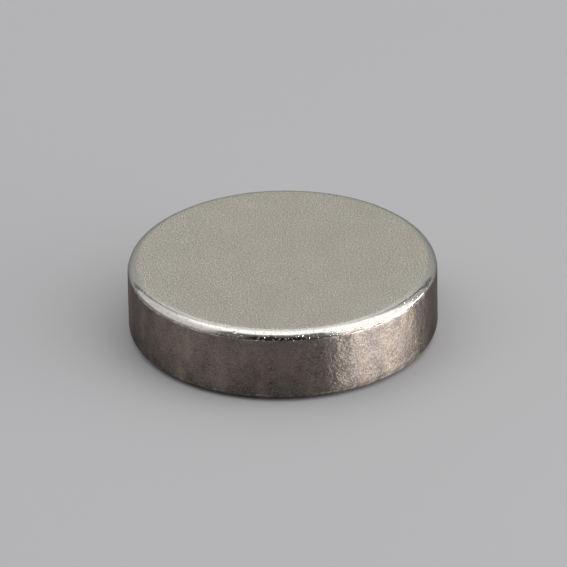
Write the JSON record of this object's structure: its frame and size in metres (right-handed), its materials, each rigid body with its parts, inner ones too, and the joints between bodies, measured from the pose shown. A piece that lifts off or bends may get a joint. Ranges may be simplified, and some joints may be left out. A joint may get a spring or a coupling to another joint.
{
  "type": "disc magnet",
  "caption": "Round flat disc magnet: a nickel-plated solid disc with flat satin pole faces, rounded rims and a straight glossy side wall.",
  "frame": {"origin": "centre of the lower pole face", "axes": "+Z along the disc's axis, from the lower pole face to the upper one; X and Y are any two radii at a right angle"},
  "size_m": [0.02, 0.02, 0.005],
  "materials": {
    "nickel_plating": "nickel plating, satin on the pole faces and bright on the rims and wall"
  },
  "bodies": {
    "root": {"disc_magnet": "nickel_plating"}
  },
  "joints": []
}
